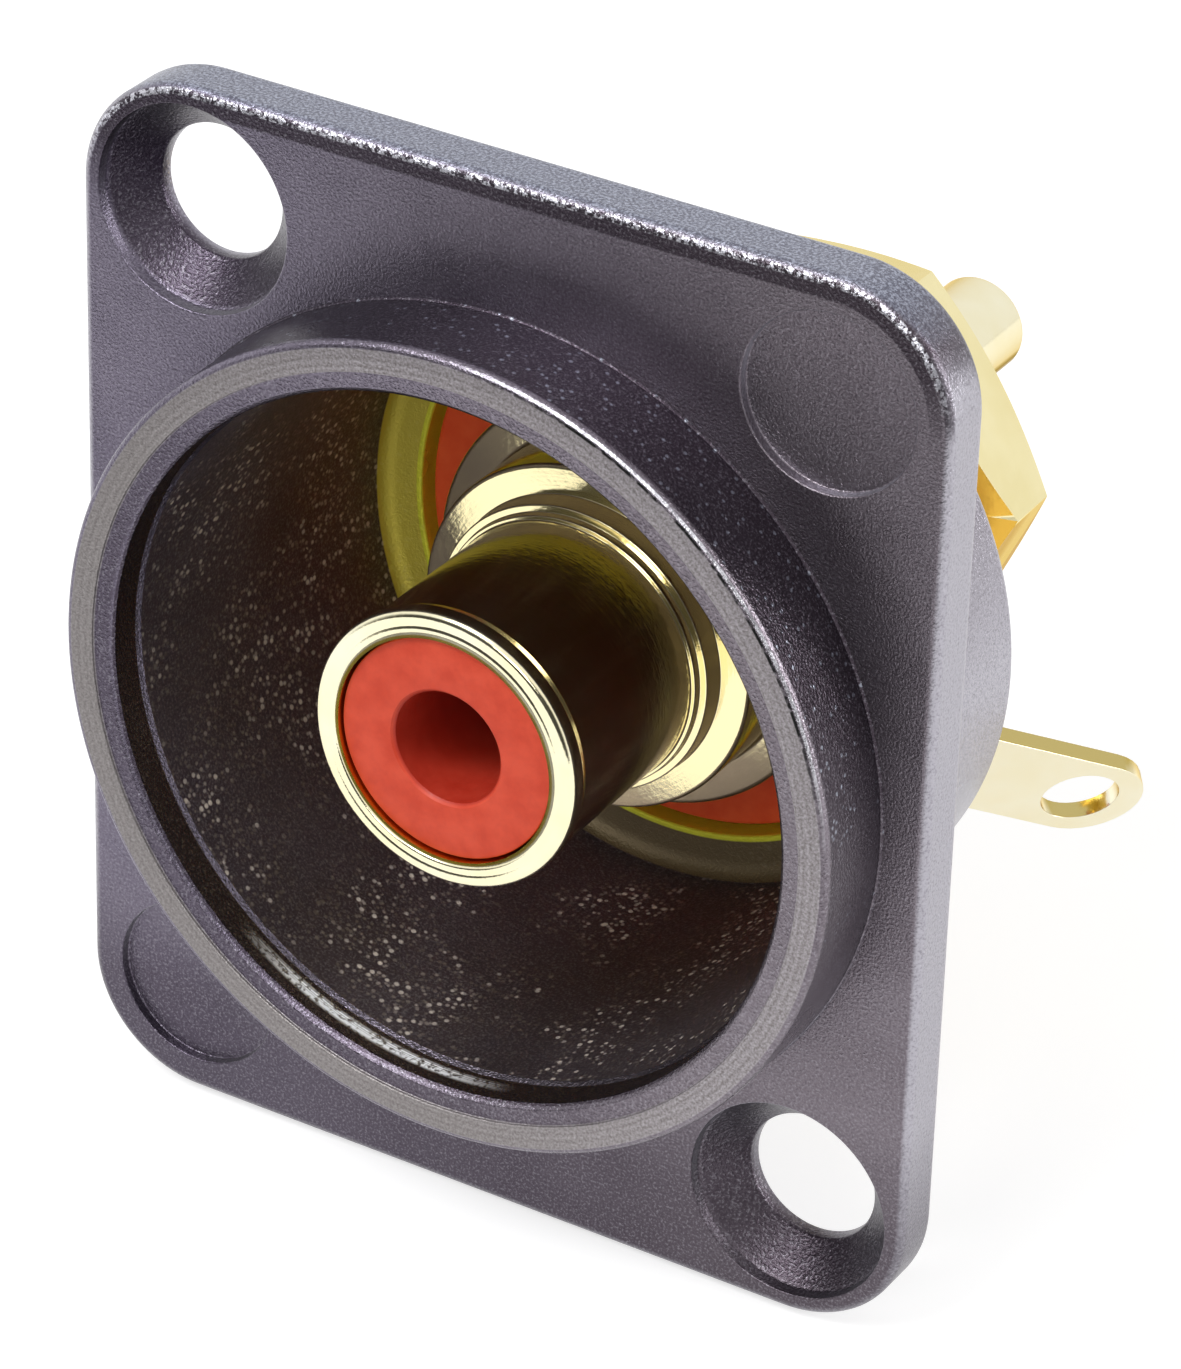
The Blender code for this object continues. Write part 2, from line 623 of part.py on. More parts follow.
def hex_nut():
    """A turned blank with chamfered faces and a round collar, cut to a hexagon."""
    blank_radius = NUT_CORNER_RADIUS + OVERSHOOT
    chamfer = (blank_radius - NUT_APOTHEM) * math.tan(NUT_CHAMFER_ANGLE)
    piece = turned(
        "hex_nut",
        [
            (BARREL_HOLE, NUT_FRONT),
            (NUT_COLLAR_RADIUS - TURNED_EDGE, NUT_FRONT),
            (NUT_COLLAR_RADIUS, NUT_FRONT + TURNED_EDGE),
            (NUT_COLLAR_RADIUS, NUT_HEX_FRONT),
            (NUT_APOTHEM, NUT_HEX_FRONT),
            (blank_radius, NUT_HEX_FRONT + chamfer),
            (blank_radius, NUT_REAR - chamfer),
            (NUT_APOTHEM, NUT_REAR),
            (BARREL_HOLE + TURNED_EDGE, NUT_REAR),
            (BARREL_HOLE, NUT_REAR - TURNED_EDGE),
        ],
        MEDIUM_TURN,
        turn=NUT_TURN,
    )
    prism = turned(
        "nut_prism",
        [
            (0.0, NUT_FRONT - OVERSHOOT),
            (NUT_CORNER_RADIUS, NUT_FRONT - OVERSHOOT),
            (NUT_CORNER_RADIUS, NUT_REAR + OVERSHOOT),
            (0.0, NUT_REAR + OVERSHOOT),
        ],
        6,
        turn=NUT_TURN,
    )
    combine(piece, "INTERSECT", prism)
    return piece


def centre_contact():
    """Bored and slotted fingers, a body with a collar, and a stub that ends in an open-sided solder cup."""
    piece = turned(
        "centre_contact",
        [
            (0.0, PIN_BORE_REAR),
            (FINGER_BORE, PIN_BORE_REAR),
            (FINGER_BORE, CONTACT_FRONT + FINGER_LEAD),
            (FINGER_BORE + FINGER_LEAD, CONTACT_FRONT),
            (FINGER_RADIUS, CONTACT_FRONT),
            (FINGER_RADIUS, FINGER_REAR),
            (CONTACT_BODY_RADIUS, FINGER_REAR),
            (CONTACT_BODY_RADIUS, CONTACT_COLLAR_FRONT),
            (CONTACT_COLLAR_RADIUS, CONTACT_COLLAR_FRONT),
            (CONTACT_COLLAR_RADIUS, CONTACT_COLLAR_REAR),
            (CONTACT_BODY_RADIUS, CONTACT_COLLAR_REAR),
            (CONTACT_BODY_RADIUS, CORE_REAR),
            (STUB_RADIUS, CORE_REAR),
            (STUB_RADIUS, STUB_REAR - STUB_EDGE),
            (STUB_RADIUS - STUB_EDGE, STUB_REAR),
            (SOLDER_CUP_BORE, STUB_REAR),
            (SOLDER_CUP_BORE, STUB_REAR - SOLDER_CUP_LENGTH),
            (0.0, STUB_REAR - SOLDER_CUP_LENGTH),
        ],
        SMALL_TURN,
    )
    side = FINGER_RADIUS + OVERSHOOT
    half_slot = SLOT_WIDTH / 2
    front = CONTACT_FRONT - OVERSHOOT
    combine(piece, "DIFFERENCE", box("slot_x", (-side, front, -half_slot), (side, SLOT_REAR, half_slot)))
    combine(piece, "DIFFERENCE", box("slot_z", (-half_slot, front, -side), (half_slot, SLOT_REAR, side)))
    outside = STUB_RADIUS + OVERSHOOT
    notch = box(
        "solder_cup_notch",
        (STUB_RADIUS - SOLDER_CUP_NOTCH_DEPTH, STUB_REAR - SOLDER_CUP_NOTCH_LENGTH, -outside),
        (outside, STUB_REAR + OVERSHOOT, outside),
        SOLDER_CUP_ANGLE,
    )
    combine(piece, "DIFFERENCE", notch)
    return piece


clear_scene()
parts = new_collection("phono_panel_socket")
cutters = new_collection("cutters")

add_part(housing(), new_material("housing_lacquer", (0.022, 0.020, 0.024), 0.42, 0.0))
add_part(jack_sleeve(), gold("sleeve_gold"))
add_part(core_insulator(), red_plastic("core_red"))
add_part(front_insulating_washer(), red_plastic("front_washer_red"))
add_part(rear_insulating_washer(), red_plastic("rear_washer_red"))
add_part(solder_lug(), gold("lug_gold"))
add_part(hex_nut(), gold("nut_gold"))
add_part(centre_contact(), gold("contact_gold"))
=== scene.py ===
"""Looks of the panel-mount phono socket: finer pieces, materials, studio light and the photograph's camera.

The pieces repeat the sizes of the CAD part, in millimetres, and are made in metres. The socket faces -Y. A
depth is a distance behind the rear face of the flange, along +Y. A size with the bare name of a round form,
such as COLLAR or PIN_HOLE, is its radius.
"""

import math

import bmesh
import bpy
from mathutils import Matrix, Vector

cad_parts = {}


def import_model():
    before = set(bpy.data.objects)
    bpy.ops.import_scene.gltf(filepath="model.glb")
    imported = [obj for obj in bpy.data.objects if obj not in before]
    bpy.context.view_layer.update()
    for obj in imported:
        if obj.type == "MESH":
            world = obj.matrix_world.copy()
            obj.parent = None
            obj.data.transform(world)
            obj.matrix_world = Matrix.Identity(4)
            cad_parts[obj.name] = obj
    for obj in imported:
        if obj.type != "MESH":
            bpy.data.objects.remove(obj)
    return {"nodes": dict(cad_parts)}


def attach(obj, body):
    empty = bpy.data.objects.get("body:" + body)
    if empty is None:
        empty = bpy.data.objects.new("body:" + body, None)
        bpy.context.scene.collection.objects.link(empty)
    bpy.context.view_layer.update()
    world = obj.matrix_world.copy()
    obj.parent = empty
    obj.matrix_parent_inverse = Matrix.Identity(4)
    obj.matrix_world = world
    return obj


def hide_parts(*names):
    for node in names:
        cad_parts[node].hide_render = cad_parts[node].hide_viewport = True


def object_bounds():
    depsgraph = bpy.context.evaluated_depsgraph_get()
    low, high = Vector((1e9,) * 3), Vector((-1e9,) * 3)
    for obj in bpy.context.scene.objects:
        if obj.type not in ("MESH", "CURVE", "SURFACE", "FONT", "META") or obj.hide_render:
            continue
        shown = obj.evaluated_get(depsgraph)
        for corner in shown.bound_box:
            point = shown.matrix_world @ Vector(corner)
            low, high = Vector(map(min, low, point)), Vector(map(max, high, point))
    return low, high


MM = 0.001
TINY = 1e-6

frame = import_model()
cad_low, cad_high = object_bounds()

# Housing, in millimetres
RIM_FRONT = -4.70
RIM_STEP = 0.10
MOUTH_BAND_REAR = -3.45
FLANGE_FRONT = -1.85
FLOOR = 7.65
RECESS = 8.65
BODY_REAR = 9.45
BODY_CHAMFER = 2.0
BODY_FRONT_RADIUS = 10.75
BODY_REAR_RADIUS = 10.50
BODY_END_RADIUS = 8.70
FLANGE_HALF_WIDTH = 13.0
FLANGE_HALF_HEIGHT = 15.5
FLANGE_CORNER = 3.5
FLANGE_FRONT_EDGE = 0.30
FLANGE_REAR_EDGE = 0.45
HOLE_X = 9.5
HOLE_Z = 12.0
SCREW_HOLE = 1.9
COUNTERSINK = 2.95
COUNTERSINK_WALL = 0.35
PAD = 2.5
PAD_DEPTH = 0.30  # more than the solid's 0.12, for the shadow in the photograph
COLLAR = 11.70
COLLAR_FILLET = 0.06
LAND = 10.85
MOUTH = 10.25
MOUTH_CHAMFER = 0.15
CUP = 10.17
FLOOR_RADIUS = 9.55
RECESS_RADIUS = 8.30
FLOOR_BORE = 5.45

# Jack sleeve, in millimetres
LIP_FRONT = -4.28
LIP_REAR = -3.80
LIP = 4.00
LIP_GROOVE = 3.60
SLEEVE_BORE = 3.25
TUBE_FRONT = -3.52
TUBE_REAR = 1.85
TUBE = 3.88
FIRST_STEP_REAR = 2.10
FIRST_STEP = 4.00
SECOND_STEP_REAR = 2.80
SECOND_STEP = 4.22
SLEEVE_COLLAR_REAR = 5.15
SLEEVE_COLLAR = 5.08
CLAMP_REAR = 7.90
CLAMP = 6.10
BARREL_REAR = 17.70
BARREL = 4.75
BARREL_CHAMFER = 0.30
ROLLED_LIP = 3.40
ROLLED_LIP_LENGTH = 0.45
REAR_BORE = 3.70
REAR_BORE_LENGTH = 7.50
THREAD_PITCH = 0.75
THREAD_DEPTH = 0.30
THREAD_ROWS = 10

# What is clamped on the barrel, in millimetres
BARREL_HOLE = 4.90
FRONT_WASHER_FRONT = 7.95
FRONT_WASHER_REAR = 8.60
FRONT_WASHER = 8.10
REAR_WASHER_FRONT = 8.65
REAR_WASHER_SEAT = 9.50
REAR_WASHER_REAR = 10.25
REAR_WASHER = 7.40
SHOULDER = 5.35
NUT_FRONT = 10.85
NUT_HEX_FRONT = 13.65
NUT_REAR = 16.40
NUT_COLLAR = 5.90
NUT_APOTHEM = 6.15
NUT_CHAMFER = math.tan(math.radians(28))
NUT_BORE_CHAMFER = 0.20
NUT_TURN = math.radians(4.5)

# Core and centre contact, in millimetres
CORE_FRONT = -4.13
CORE_SHOULDER = 10.25
CORE_REAR = 17.20
CORE = 3.20
CORE_REAR_RADIUS = 3.65
PIN_HOLE = 1.62
PIN_HOLE_CHAMFER = 0.10
CHAMBER_FRONT = -0.23
CHAMBER = 2.30
CONTACT_HOLE = 2.20
CONTACT_FRONT = -0.18
PIN_BORE_REAR = 10.92
PIN_BORE = 1.55
PIN_BORE_CHAMFER = 0.15
FINGER_REAR = 6.12
FINGER = 2.00
SLOT_REAR = 5.02
SLOT_HALF_WIDTH = 0.2
SHAFT = 2.15
CONTACT_COLLAR_FRONT = 14.70
CONTACT_COLLAR_REAR = 15.70
CONTACT_COLLAR = 2.60
STUB_REAR = 25.10
STUB = 1.48
SOLDER_CUP = 1.05
SOLDER_CUP_LENGTH = 4.2
NOTCH_X = 0.73
NOTCH_FRONT = 21.70
NOTCH_REACH = 2
NOTCH_TURN = math.radians(230)

# How far a cutting shape goes past what it cuts, in millimetres
OVERSHOOT = 1

# Steps around a turned piece
LARGE_TURN = 256
MEDIUM_TURN = 192
CORE_TURN = 160
SMALL_TURN = 96


# Shapes


def link(name, mesh):
    item = bpy.data.objects.new(name, mesh)
    bpy.context.scene.collection.objects.link(item)
    return item


def rounded(profile, closed=True, facets=4):
    """A profile of (radius, depth, edge radius), with an arc of the edge radius at each corner."""
    out = []
    last = len(profile) - 1
    nearly_half = 0.49
    for i, (x, y, edge) in enumerate(profile):
        if edge == 0 or (not closed and i in (0, last)):
            out.append((x, y))
            continue
        here = Vector((x, y))
        before = Vector(profile[i - 1][:2]) - here
        after = Vector(profile[(i + 1) % len(profile)][:2]) - here
        half = before.angle(after) / 2
        reach = min(edge / math.tan(half), before.length * nearly_half, after.length * nearly_half)
        radius = reach * math.tan(half)
        centre = here + (before.normalized() + after.normalized()).normalized() * (radius / math.sin(half))
        start = here + before.normalized() * reach - centre
        sweep = start.angle_signed(here + after.normalized() * reach - centre)
        angle = math.atan2(start.y, start.x)
        for k in range(facets + 1):
            turn = angle - sweep * k / facets
            out.append((centre.x + radius * math.cos(turn), centre.y + radius * math.sin(turn)))
    return out


def turned_mesh(name, points, steps, closed=True, at=(0.0, 0.0), radius_at=None):
    """A mesh turned from (radius, depth) points around an axis along +Y.

    radius_at changes a radius by its depth and its angle, for a thread.
    """
    bm = bmesh.new()
    rings = []
    for radius, depth in points:
        if radius < TINY:
            pole = bm.verts.new((at[0] * MM, depth * MM, at[1] * MM))
            rings.append([pole] * steps)
            continue
        ring = []
        for k in range(steps):
            angle = 2 * math.pi * k / steps
            r = radius_at(radius, depth, angle) if radius_at else radius
            x, z = at[0] + r * math.cos(angle), at[1] + r * math.sin(angle)
            ring.append(bm.verts.new((x * MM, depth * MM, z * MM)))
        rings.append(ring)
    for i in range(len(rings) if closed else len(rings) - 1):
        one, two = rings[i], rings[(i + 1) % len(rings)]
        for k in range(steps):
            corners = dict.fromkeys((one[k], one[(k + 1) % steps], two[(k + 1) % steps], two[k]))
            if len(corners) > 2:
                bm.faces.new(corners)
    bmesh.ops.recalc_face_normals(bm, faces=bm.faces)
    mesh = bpy.data.meshes.new(name)
    bm.to_mesh(mesh)
    bm.free()
    mesh.shade_smooth()
    return mesh


def smooth(item, edge=0.0, limit=30.0):
    """Face-weighted normals, after small rounded edges where an edge radius is given."""
    if edge:
        bevel = item.modifiers.new("edges", "BEVEL")
        bevel.width = edge * MM
        bevel.segments = 3
        bevel.limit_method = "ANGLE"
        bevel.angle_limit = math.radians(limit)
    normals = item.modifiers.new("normals", "WEIGHTED_NORMAL")
    normals.weight = 50
    normals.keep_sharp = True
    return item


def turned(name, profile, steps):
    return smooth(link(name, turned_mesh(name, rounded(profile), steps)))


def carve(item, meshes, operation="DIFFERENCE"):
    """Cut each mesh out of an object, or keep what lies in it, and settle the result."""
    tools = [link("tool", mesh) for mesh in meshes]
    for tool in tools:
        cut = item.modifiers.new("cut", "BOOLEAN")
        cut.operation = operation
        cut.solver = "EXACT"
        cut.object = tool
    bpy.context.view_layer.update()
    evaluated = item.evaluated_get(bpy.context.evaluated_depsgraph_get())
    mesh = bpy.data.meshes.new_from_object(evaluated)
    item.modifiers.clear()
    item.data = mesh
    for tool in tools:
        bpy.data.objects.remove(tool, do_unlink=True)
    mesh.shade_smooth()
    return item


def box_mesh(low, high, turn=0.0):
    bm = bmesh.new()
    bmesh.ops.create_cube(bm, size=MM)
    middle = [(a + b) / 2 * MM for a, b in zip(low, high)]
    size = [b - a for a, b in zip(low, high)]
    bmesh.ops.scale(bm, vec=size, verts=bm.verts)
    bmesh.ops.translate(bm, vec=middle, verts=bm.verts)
    bmesh.ops.rotate(bm, cent=(0, 0, 0), matrix=Matrix.Rotation(-turn, 3, "Y"), verts=bm.verts)
    mesh = bpy.data.meshes.new("box")
    bm.to_mesh(mesh)
    bm.free()
    return mesh


def housing_ring():
    """Collar, cup and body, with a small radius on every edge. The collar's root is inside the flange."""
    return turned(
        "housing_cup",
        [
            (LAND, RIM_FRONT, 0.05),
            (COLLAR, RIM_FRONT, 0.20),
            (COLLAR, FLANGE_FRONT - COLLAR_FILLET, 0.04),
            (COLLAR + COLLAR_FILLET, FLANGE_FRONT, 0.0),
            (COLLAR + COLLAR_FILLET, FLANGE_FRONT + 0.6, 0.0),
            (LAND, FLANGE_FRONT + 0.9, 0.0),
            (LAND, -0.10, 0.0),
            (BODY_FRONT_RADIUS, 0.10, 0.08),
            (BODY_REAR_RADIUS, BODY_REAR - BODY_CHAMFER, 0.35),
            (BODY_END_RADIUS, BODY_REAR, 0.25),
            (FLOOR_BORE, BODY_REAR, 0.08),
            (FLOOR_BORE, RECESS, 0.08),
            (RECESS_RADIUS, RECESS, 0.05),
            (RECESS_RADIUS, FLOOR, 0.10),
            (FLOOR_RADIUS, FLOOR, 0.50),
            (CUP, MOUTH_BAND_REAR + 0.10, 0.02),
            (MOUTH, MOUTH_BAND_REAR - 0.06, 0.02),
            (MOUTH, RIM_FRONT + RIM_STEP + MOUTH_CHAMFER, 0.06),
            (MOUTH + MOUTH_CHAMFER, RIM_FRONT + RIM_STEP, 0.06),
            (LAND, RIM_FRONT + RIM_STEP, 0.04),
        ],
        LARGE_TURN,
    )


def flange_outline():
    """The flange's rectangle with rounded corners, as (x, z) points."""
    corner_x = FLANGE_HALF_WIDTH - FLANGE_CORNER
    corner_z = FLANGE_HALF_HEIGHT - FLANGE_CORNER
    facets = 24
    points = []
    for sx, sz, start in ((1, 1, 0), (-1, 1, 90), (-1, -1, 180), (1, -1, 270)):
        for k in range(facets + 1):
            angle = math.radians(start + 90 * k / facets)
            x = sx * corner_x + FLANGE_CORNER * math.cos(angle)
            points.append((x, sz * corner_z + FLANGE_CORNER * math.sin(angle)))
    return points


def flange():
    """The flange: round front and rear edges, an opening for the cup, two countersunk holes and two pads."""
    bm = bmesh.new()
    face = bm.faces.new([bm.verts.new((x * MM, 0.0, z * MM)) for x, z in flange_outline()])
    made = bmesh.ops.extrude_face_region(bm, geom=[face])
    moved = [v for v in made["geom"] if isinstance(v, bmesh.types.BMVert)]
    bmesh.ops.translate(bm, vec=(0.0, FLANGE_FRONT * MM, 0.0), verts=moved)
    bmesh.ops.recalc_face_normals(bm, faces=bm.faces)
    round_edge = {"segments": 6, "profile": 0.5, "affect": "EDGES"}
    middle = FLANGE_FRONT * MM / 2
    front_edges = [e for e in bm.edges if max(v.co.y for v in e.verts) < middle]
    bmesh.ops.bevel(bm, geom=front_edges, offset=FLANGE_FRONT_EDGE * MM, **round_edge)
    rear_edges = [e for e in bm.edges if min(v.co.y for v in e.verts) > -TINY]
    bmesh.ops.bevel(bm, geom=rear_edges, offset=FLANGE_REAR_EDGE * MM, **round_edge)
    mesh = bpy.data.meshes.new("flange")
    bm.to_mesh(mesh)
    bm.free()

    start, end = FLANGE_FRONT - OVERSHOOT, OVERSHOOT
    cone = FLANGE_FRONT + COUNTERSINK_WALL
    hole = [
        (0, start),
        (COUNTERSINK, start),
        (COUNTERSINK, cone),
        (SCREW_HOLE, cone + COUNTERSINK - SCREW_HOLE),
        (SCREW_HOLE, end),
        (0, end),
    ]
    pad = [(0, start), (PAD, start), (PAD, FLANGE_FRONT + PAD_DEPTH), (0, FLANGE_FRONT + PAD_DEPTH)]
    opening = [(0, start), (LAND, start), (LAND, end), (0, end)]
    tools = [turned_mesh("opening", opening, SMALL_TURN, False)]
    for side in (-1, 1):
        tools.append(turned_mesh("hole", hole, SMALL_TURN, False, (side * HOLE_X, -side * HOLE_Z)))
        tools.append(turned_mesh("pad", pad, SMALL_TURN, False, (side * HOLE_X, side * HOLE_Z)))
    return smooth(carve(link("housing_flange", mesh), tools), 0.05)


def thread(radius, depth, angle):
    """The barrel's radius in a thread groove. The groove fades out at both ends of the barrel."""
    if abs(radius - BARREL) > TINY or depth < CLAMP_REAR:
        return radius
    wave = 0.5 - 0.5 * math.cos(2 * math.pi * (depth / THREAD_PITCH - angle / (2 * math.pi)))
    to_front, to_rear = depth - CLAMP_REAR, BARREL_REAR - BARREL_CHAMFER - depth
    fade = max(0.0, min(1.0, to_front / THREAD_PITCH, to_rear / THREAD_PITCH * 2))
    return radius - THREAD_DEPTH * wave * fade


def jack_sleeve():
    """The turned sleeve, from its rounded lip to its threaded barrel and the lip over the core's end."""
    front = rounded(
        [
            (SLEEVE_BORE, LIP_FRONT, 0.06),
            (LIP_GROOVE - 0.04, LIP_FRONT, 0.0),
            (LIP_GROOVE, LIP_FRONT + 0.03, 0.0),
            (LIP_GROOVE + 0.04, LIP_FRONT, 0.0),
            (LIP, LIP_FRONT, 0.36),
            (LIP, LIP_REAR, 0.06),
            (TUBE, TUBE_FRONT, 0.10),
            (TUBE, TUBE_REAR, 0.04),
            (FIRST_STEP, TUBE_REAR, 0.04),
            (FIRST_STEP, FIRST_STEP_REAR, 0.03),
            (SECOND_STEP, FIRST_STEP_REAR, 0.05),
            (SECOND_STEP, SECOND_STEP_REAR, 0.04),
            (SLEEVE_COLLAR, SECOND_STEP_REAR, 0.12),
            (SLEEVE_COLLAR, SLEEVE_COLLAR_REAR, 0.10),
            (CLAMP, SLEEVE_COLLAR_REAR, 0.14),
            (CLAMP, CLAMP_REAR, 0.06),
            (BARREL, CLAMP_REAR, 0.0),
        ],
        False,
    )
    length = BARREL_REAR - BARREL_CHAMFER - CLAMP_REAR
    rows = round(length / THREAD_PITCH * THREAD_ROWS)
    barrel = [(BARREL, CLAMP_REAR + length * i / rows) for i in range(1, rows + 1)]
    rear = rounded(
        [
            (BARREL, BARREL_REAR - BARREL_CHAMFER, 0.0),
            (BARREL - BARREL_CHAMFER, BARREL_REAR, 0.08),
            (ROLLED_LIP, BARREL_REAR, 0.08),
            (ROLLED_LIP, BARREL_REAR - ROLLED_LIP_LENGTH, 0.02),
            (REAR_BORE, BARREL_REAR - ROLLED_LIP_LENGTH, 0.02),
            (REAR_BORE, BARREL_REAR - REAR_BORE_LENGTH, 0.02),
            (SLEEVE_BORE, BARREL_REAR - REAR_BORE_LENGTH, 0.0),
        ],
        False,
    )
    mesh = turned_mesh("jack_sleeve", front + barrel + rear[1:], MEDIUM_TURN, radius_at=thread)
    return smooth(link("jack_sleeve_turned", mesh))


def core():
    chamber_rear = FINGER_REAR - 0.05
    return turned(
        "core_red",
        [
            (PIN_HOLE + PIN_HOLE_CHAMFER, CORE_FRONT, 0.02),
            (CORE, CORE_FRONT, 0.05),
            (CORE, CORE_SHOULDER, 0.02),
            (CORE_REAR_RADIUS, CORE_SHOULDER, 0.02),
            (CORE_REAR_RADIUS, CORE_REAR, 0.08),
            (CONTACT_HOLE, CORE_REAR, 0.05),
            (CONTACT_HOLE, chamber_rear, 0.0),
            (CHAMBER, chamber_rear, 0.0),
            (CHAMBER, CHAMBER_FRONT, 0.0),
            (PIN_HOLE, CHAMBER_FRONT, 0.02),
            (PIN_HOLE, CORE_FRONT + PIN_HOLE_CHAMFER, 0.02),
        ],
        CORE_TURN,
    )


def front_washer():
    return turned(
        "front_washer",
        [
            (BARREL_HOLE, FRONT_WASHER_FRONT, 0.05),
            (FRONT_WASHER, FRONT_WASHER_FRONT, 0.12),
            (FRONT_WASHER, FRONT_WASHER_REAR, 0.05),
            (BARREL_HOLE, FRONT_WASHER_REAR, 0.05),
        ],
        MEDIUM_TURN,
    )


def rear_washer():
    return turned(
        "rear_washer",
        [
            (BARREL_HOLE, REAR_WASHER_FRONT, 0.03),
            (SHOULDER, REAR_WASHER_FRONT, 0.03),
            (SHOULDER, REAR_WASHER_SEAT, 0.03),
            (REAR_WASHER, REAR_WASHER_SEAT, 0.12),
            (REAR_WASHER, REAR_WASHER_REAR, 0.12),
            (BARREL_HOLE, REAR_WASHER_REAR, 0.03),
        ],
        MEDIUM_TURN,
    )


def nut():
    """A turned blank with two chamfered faces and a round collar, cut to a hexagon."""
    corner = NUT_APOTHEM / math.cos(math.pi / 6)
    reach = corner + OVERSHOOT / 2
    chamfer = (reach - NUT_APOTHEM) * NUT_CHAMFER
    blank = rounded(
        [
            (BARREL_HOLE, NUT_FRONT, 0.04),
            (NUT_COLLAR, NUT_FRONT, 0.12),
            (NUT_COLLAR, NUT_HEX_FRONT, 0.05),
            (NUT_APOTHEM, NUT_HEX_FRONT, 0.04),
            (reach, NUT_HEX_FRONT + chamfer, 0.0),
            (reach, NUT_REAR - chamfer, 0.0),
            (NUT_APOTHEM, NUT_REAR, 0.04),
            (BARREL_HOLE + NUT_BORE_CHAMFER, NUT_REAR, 0.03),
            (BARREL_HOLE, NUT_REAR - NUT_BORE_CHAMFER, 0.03),
        ]
    )
    item = link("hex_nut_body", turned_mesh("hex_nut", blank, MEDIUM_TURN))
    start, end = 9.0, 18.0
    prism = turned_mesh("prism", [(0, start), (corner, start), (corner, end), (0, end)], 6, False)
    for mesh in (item.data, prism):
        mesh.transform(Matrix.Rotation(-NUT_TURN, 4, "Y"))
    return smooth(carve(item, [prism], "INTERSECT"), 0.06, 20.0)


def contact():
    """The centre contact: bored and slotted fingers, a collar in the core and an open-sided solder cup."""
    profile = rounded(
        [
            (0.0, PIN_BORE_REAR, 0.0),
            (PIN_BORE, PIN_BORE_REAR, 0.0),
            (PIN_BORE, CONTACT_FRONT + PIN_BORE_CHAMFER, 0.0),
            (PIN_BORE + PIN_BORE_CHAMFER, CONTACT_FRONT, 0.03),
            (FINGER, CONTACT_FRONT, 0.05),
            (FINGER, FINGER_REAR, 0.0),
            (SHAFT, FINGER_REAR, 0.0),
            (SHAFT, CONTACT_COLLAR_FRONT, 0.0),
            (CONTACT_COLLAR, CONTACT_COLLAR_FRONT, 0.0),
            (CONTACT_COLLAR, CONTACT_COLLAR_REAR, 0.0),
            (SHAFT, CONTACT_COLLAR_REAR, 0.0),
            (SHAFT, CORE_REAR, 0.05),
            (STUB, CORE_REAR, 0.03),
            (STUB, STUB_REAR, 0.12),
            (SOLDER_CUP, STUB_REAR, 0.05),
            (SOLDER_CUP, STUB_REAR - SOLDER_CUP_LENGTH, 0.10),
            (0.0, STUB_REAR - SOLDER_CUP_LENGTH, 0.0),
        ],
        False,
    )
    item = link("centre_contact_pin", turned_mesh("contact", profile, SMALL_TURN, False))
    start, across, half = CONTACT_FRONT - OVERSHOOT, FINGER + OVERSHOOT, SLOT_HALF_WIDTH
    notch_low = (NOTCH_X, NOTCH_FRONT, -NOTCH_REACH)
    notch_high = (NOTCH_REACH, STUB_REAR + OVERSHOOT, NOTCH_REACH)
    tools = [
        box_mesh((-across, start, -half), (across, SLOT_REAR, half)),
        box_mesh((-half, start, -across), (half, SLOT_REAR, across)),
        box_mesh(notch_low, notch_high, NOTCH_TURN),
    ]
    return smooth(carve(item, tools), 0.04)


def lug():
    """The lug's sheet, taken from its CAD node, with the rounded edges of a stamping."""
    mesh = frame["nodes"]["solder_lug"].data.copy()
    bm = bmesh.new()
    bm.from_mesh(mesh)
    bmesh.ops.remove_doubles(bm, verts=bm.verts, dist=TINY)
    bmesh.ops.dissolve_limit(bm, angle_limit=math.radians(1), verts=bm.verts, edges=bm.edges)
    bm.to_mesh(mesh)
    bm.free()
    mesh.shade_smooth()
    return smooth(link("solder_lug_sheet", mesh), 0.06)


# Materials


